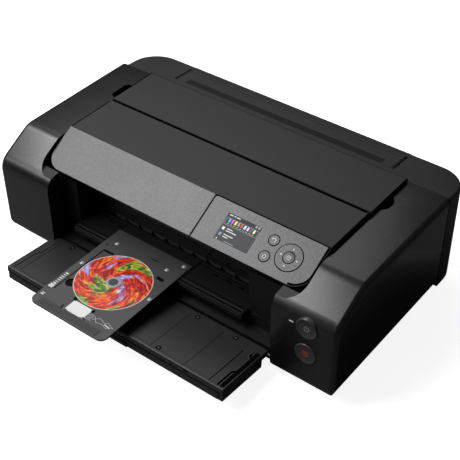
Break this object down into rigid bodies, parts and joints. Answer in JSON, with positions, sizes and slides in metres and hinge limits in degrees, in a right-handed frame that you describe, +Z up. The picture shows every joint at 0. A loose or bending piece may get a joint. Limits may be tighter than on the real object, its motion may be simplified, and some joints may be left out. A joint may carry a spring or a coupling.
{
  "type": "inkjet photo printer",
  "caption": "Wide inkjet photo printer with a hinged sloping lid, folding paper support, front output tray and a disc tray pushed in at the front.",
  "frame": {"origin": "on the standing surface, under the middle of everything covered at rest, trays included", "axes": "+X to the right seen from the front, the front faces -Y, +Z up"},
  "size_m": [0.639, 0.522, 0.194],
  "materials": {
    "body_plastic": "fine-grained dark grey moulded plastic",
    "lid_plastic": "fine-grained dark grey moulded plastic",
    "slope_metal": "dark silver paint with fine flake",
    "dark_plastic": "black moulded plastic",
    "tray_plastic": "dark grey moulded plastic",
    "gloss_black": "polished black plastic",
    "screen_glass": "clear window over a dark display",
    "light_lens": "clear light lens",
    "ring_plastic": "satin silver-grey plastic",
    "disc_face": null,
    "label_plastic": "pale plastic insert",
    "board": "green circuit board",
    "steel": "plain zinc-plated sheet steel",
    "shaft_steel": "ground steel",
    "rubber": "soft black rubber",
    "gear_white": "natural white acetal",
    "inner_grey": "unpainted dark grey plastic",
    "ink_blue": "dark ink tank plastic",
    "cap_grey": "grey plastic with soft pads"
  },
  "bodies": {
    "case": {"base_tray": "dark_plastic", "side_cover_left": "body_plastic", "side_cover_right": "body_plastic", "rear_case": "body_plastic", "rear_cover": "dark_plastic", "inner_frame_left": "dark_plastic", "inner_frame_right": "dark_plastic", "upper_frame": "inner_grey", "chassis": "steel", "exit_cover": "gloss_black", "status_light": "light_lens", "front_board": "board", "tray_guide": "tray_plastic", "platen": "inner_grey", "feed_motor": "steel", "carriage_rail": "shaft_steel", "carriage_belt": "rubber", "carriage_motor": "steel", "capping_station": "cap_grey", "rear_feed_bed": "inner_grey", "main_board": "board", "power_supply": "inner_grey", "power_inlet": "dark_plastic", "port_block": "dark_plastic", "rubber_feet": "rubber", "case_screws": "steel", "hinge_pins": "steel"},
    "lid": {"top_cover": "lid_plastic", "slope_plate": "slope_metal", "operation_panel": "slope_metal", "lcd_screen": "screen_glass", "panel_board": "board"},
    "back_key": {"back_key": "ring_plastic"},
    "home_key": {"home_key": "ring_plastic"},
    "ok_button": {"ok_button": "gloss_black"},
    "nav_ring": {"nav_ring": "ring_plastic"},
    "power_button": {"power_button": "gloss_black"},
    "stop_button": {"stop_button": "gloss_black"},
    "paper_support": {"paper_support": "lid_plastic"},
    "support_extension": {"support_extension": "tray_plastic"},
    "manual_feed_cover": {"manual_feed_cover": "body_plastic"},
    "output_tray": {"output_tray": "tray_plastic"},
    "output_extension": {"output_extension": "tray_plastic"},
    "disc_tray": {"disc_tray": "tray_plastic", "mark_plate": "label_plastic"},
    "disc": {"disc": "disc_face"},
    "feed_roller": {"feed_roller": "shaft_steel", "feed_gear": "gear_white"},
    "eject_roller": {"eject_roller": "rubber", "eject_gear": "gear_white"},
    "pinch_rollers": {"pinch_rollers": "inner_grey"},
    "star_wheels": {"star_wheels": "steel"},
    "idler_gear": {"idler_gear": "gear_white"},
    "motor_pinion": {"motor_pinion": "gear_white"},
    "carriage": {"carriage": "inner_grey", "ink_tanks": "ink_blue"},
    "drive_pulley": {"drive_pulley": "gear_white"},
    "idler_pulley": {"idler_pulley": "gear_white"},
    "paper_guide_left": {"paper_guide_left": "inner_grey"},
    "paper_guide_right": {"paper_guide_right": "inner_grey"}
  },
  "joints": [
    {"name": "lid_hinge", "type": "hinge", "parent": "case", "child": "lid", "pos_m": [0, 0.0685, 0.189], "axis": [-1, 0, 0], "range_deg": [0, 60]},
    {"name": "support_hinge", "type": "hinge", "parent": "case", "child": "paper_support", "pos_m": [0, 0.171, 0.186], "axis": [-1, 0, 0], "range_deg": [0, 105]},
    {"name": "extension_slide", "type": "slide", "parent": "paper_support", "child": "support_extension", "axis": [0, -1, 0], "range_m": [0, 0.07]},
    {"name": "feed_cover_hinge", "type": "hinge", "parent": "case", "child": "manual_feed_cover", "pos_m": [0, 0.235, 0.18056], "axis": [-1, 0, 0], "range_deg": [0, 100]},
    {"name": "output_tray_hinge", "type": "hinge", "parent": "case", "child": "output_tray", "pos_m": [0, -0.112, 0.034], "axis": [-1, 0, 0], "range_deg": [0, 4]},
    {"name": "output_extension_slide", "type": "slide", "parent": "output_tray", "child": "output_extension", "axis": [0, -0.9957, 0.0924], "range_m": [0, 0.08]},
    {"name": "disc_tray_slide", "type": "slide", "parent": "case", "child": "disc_tray", "axis": [0, -1, 0], "range_m": [-0.135, 0.02]},
    {"name": "disc_turn", "type": "hinge", "parent": "disc_tray", "child": "disc", "pos_m": [-0.045, -0.159, 0.068], "axis": [0, 0, 1], "continuous": true},
    {"name": "power_button_push", "type": "slide", "parent": "case", "child": "power_button", "axis": [0, 1, 0], "range_m": [0, 0.0015], "stiffness_N_per_m": 600, "springref_m": -0.001},
    {"name": "stop_button_push", "type": "slide", "parent": "case", "child": "stop_button", "axis": [0, 1, 0], "range_m": [0, 0.0015], "stiffness_N_per_m": 600, "springref_m": -0.001},
    {"name": "back_key_push", "type": "slide", "parent": "lid", "child": "back_key", "axis": [0, 0.4924, -0.8704], "range_m": [0, 0.0008], "stiffness_N_per_m": 500, "springref_m": -0.001},
    {"name": "home_key_push", "type": "slide", "parent": "lid", "child": "home_key", "axis": [0, 0.4924, -0.8704], "range_m": [0, 0.0008], "stiffness_N_per_m": 500, "springref_m": -0.001},
    {"name": "ok_button_push", "type": "slide", "parent": "lid", "child": "ok_button", "axis": [0, 0.4924, -0.8704], "range_m": [0, 0.0008], "stiffness_N_per_m": 500, "springref_m": -0.001},
    {"name": "nav_ring_rock", "type": "hinge", "parent": "lid", "child": "nav_ring", "pos_m": [0.1987, -0.05579, 0.17193], "axis": [1, 0, 0], "range_deg": [-2.5, 2.5], "stiffness_Nm_per_rad": 0.12},
    {"name": "feed_roller_turn", "type": "hinge", "parent": "case", "child": "feed_roller", "pos_m": [0, 0.064, 0.058], "axis": [1, 0, 0], "continuous": true},
    {"name": "eject_roller_turn", "type": "hinge", "parent": "case", "child": "eject_roller", "pos_m": [0, -0.02599, 0.0595], "axis": [1, 0, 0], "continuous": true},
    {"name": "pinch_rollers_turn", "type": "hinge", "parent": "case", "child": "pinch_rollers", "pos_m": [0, 0.064, 0.0739], "axis": [1, 0, 0], "continuous": true},
    {"name": "star_wheels_turn", "type": "hinge", "parent": "case", "child": "star_wheels", "pos_m": [0, -0.02599, 0.0738], "axis": [1, 0, 0], "continuous": true},
    {"name": "idler_gear_turn", "type": "hinge", "parent": "case", "child": "idler_gear", "pos_m": [-0.248, 0.01901, 0.05875], "axis": [1, 0, 0], "continuous": true},
    {"name": "motor_pinion_turn", "type": "hinge", "parent": "case", "child": "motor_pinion", "pos_m": [-0.248, 0.0475, 0.02942], "axis": [1, 0, 0], "continuous": true},
    {"name": "carriage_slide", "type": "slide", "parent": "case", "child": "carriage", "axis": [1, 0, 0], "range_m": [-0.37, 0]},
    {"name": "drive_pulley_turn", "type": "hinge", "parent": "case", "child": "drive_pulley", "pos_m": [-0.226, 0.0685, 0.118], "axis": [0, 1, 0], "range_deg": [-5, 2830]},
    {"name": "idler_pulley_turn", "type": "hinge", "parent": "case", "child": "idler_pulley", "pos_m": [0.226, 0.0685, 0.118], "axis": [0, 1, 0], "range_deg": [-5, 2830]},
    {"name": "guide_left_slide", "type": "slide", "parent": "case", "child": "paper_guide_left", "axis": [1, 0, 0], "range_m": [0, 0.115]},
    {"name": "guide_right_slide", "type": "slide", "parent": "case", "child": "paper_guide_right", "axis": [1, 0, 0], "range_m": [-0.115, 0]}
  ],
  "couplings": [
    {"joint": "eject_roller_turn", "follows": "feed_roller_turn", "ratio": 1},
    {"joint": "idler_gear_turn", "follows": "feed_roller_turn", "ratio": -1.1429},
    {"joint": "motor_pinion_turn", "follows": "feed_roller_turn", "ratio": -2.6667},
    {"joint": "pinch_rollers_turn", "follows": "feed_roller_turn", "ratio": -1.875},
    {"joint": "star_wheels_turn", "follows": "feed_roller_turn", "ratio": -1.5},
    {"joint": "drive_pulley_turn", "follows": "carriage_slide", "rad_per_m": -133.33},
    {"joint": "idler_pulley_turn", "follows": "carriage_slide", "rad_per_m": -133.33},
    {"joint": "guide_right_slide", "follows": "guide_left_slide", "ratio": -1}
  ]
}
